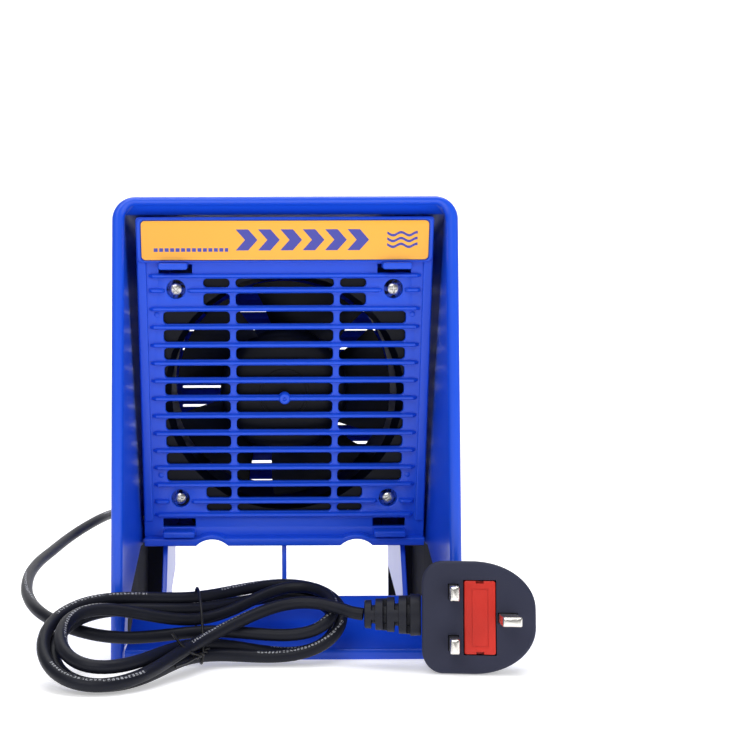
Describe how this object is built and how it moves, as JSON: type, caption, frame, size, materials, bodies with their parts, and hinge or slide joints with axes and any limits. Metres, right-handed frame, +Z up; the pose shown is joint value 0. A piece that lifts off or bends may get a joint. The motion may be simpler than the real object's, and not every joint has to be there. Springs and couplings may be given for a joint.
{
  "type": "solder fume extractor",
  "caption": "Bench fume absorber: blue hooded housing with a tilted louvred fan panel, rear outlet grille, rocker switch and a mains lead tied in a hank with its plug.",
  "frame": {"origin": "middle of the housing's footprint, on the bench", "axes": "+Z up, +X to the right seen from the front, the hood's mouth faces -Y"},
  "size_m": [0.2412, 0.3014, 0.218],
  "materials": {
    "housing": "blue moulded plastic, satin gloss",
    "label": "printed yellow label",
    "fan_body": "black moulded fan plastic",
    "black_fitting": "black moulded fitting",
    "cord_jacket": "soft black jacket with a low sheen",
    "plug_moulding": "charcoal moulding, fine grain",
    "fuse_red": "red moulded carrier",
    "pin_metal": "nickel-plated brass",
    "steel": "zinc-plated steel",
    "iron": "laminated iron",
    "brass": "sintered bronze and brass",
    "copper": "enamelled copper wire",
    "lead_brown": "brown insulation",
    "lead_blue": "blue insulation",
    "ceramic": "white ceramic tube"
  },
  "bodies": {
    "case": {"base_frame": "housing", "bearing_front": "brass", "bearing_rear": "brass", "bottom_cover": "housing", "case_screw_1": "steel", "case_screw_2": "steel", "case_screw_3": "steel", "case_screw_4": "steel", "cord_gland": "cord_jacket", "cord_hank": "cord_jacket", "cord_lead": "cord_jacket", "cord_tail": "cord_jacket", "fan_frame": "fan_body", "fan_nut_1": "steel", "fan_nut_2": "steel", "fan_nut_3": "steel", "fan_nut_4": "steel", "fan_screw_1": "steel", "fan_screw_2": "steel", "fan_screw_3": "steel", "fan_screw_4": "steel", "fan_terminal_block": "black_fitting", "front_panel": "housing", "grille_screw_1": "steel", "grille_screw_2": "steel", "grille_screw_3": "steel", "grille_screw_4": "steel", "hood_shell": "housing", "label_plate": "label", "lead_live": "lead_brown", "lead_neutral": "lead_blue", "lead_switched": "lead_brown", "pin_earth": "pin_metal", "pin_live": "pin_metal", "pin_neutral": "pin_metal", "plug_body": "plug_moulding", "plug_boot": "plug_moulding", "rear_grille": "housing", "rear_shell": "housing", "stator_core": "iron", "switch_blade_1": "brass", "switch_blade_2": "brass", "switch_body": "black_fitting", "twist_tie": "black_fitting", "winding_front": "copper", "winding_rear": "copper"},
    "rotor": {"impeller": "fan_body", "rotor_ring": "iron", "fan_shaft": "steel"},
    "rocker": {"switch_rocker": "black_fitting"},
    "carrier": {"fuse_carrier": "fuse_red", "fuse": "ceramic"}
  },
  "joints": [
    {"name": "fan_spin", "type": "hinge", "parent": "case", "child": "rotor", "pos_m": [0, -0.0533, 0.1253], "axis": [0, 0.9703, 0.2419], "continuous": true},
    {"name": "rocker_tilt", "type": "hinge", "parent": "case", "child": "rocker", "pos_m": [0.045, 0.0736, 0.066], "axis": [0, 0, 1], "range_deg": [-16, 0]},
    {"name": "fuse_slide", "type": "slide", "parent": "case", "child": "carrier", "axis": [-0.1388, -0.9879, 0.0698], "range_m": [0, 0.009]}
  ]
}
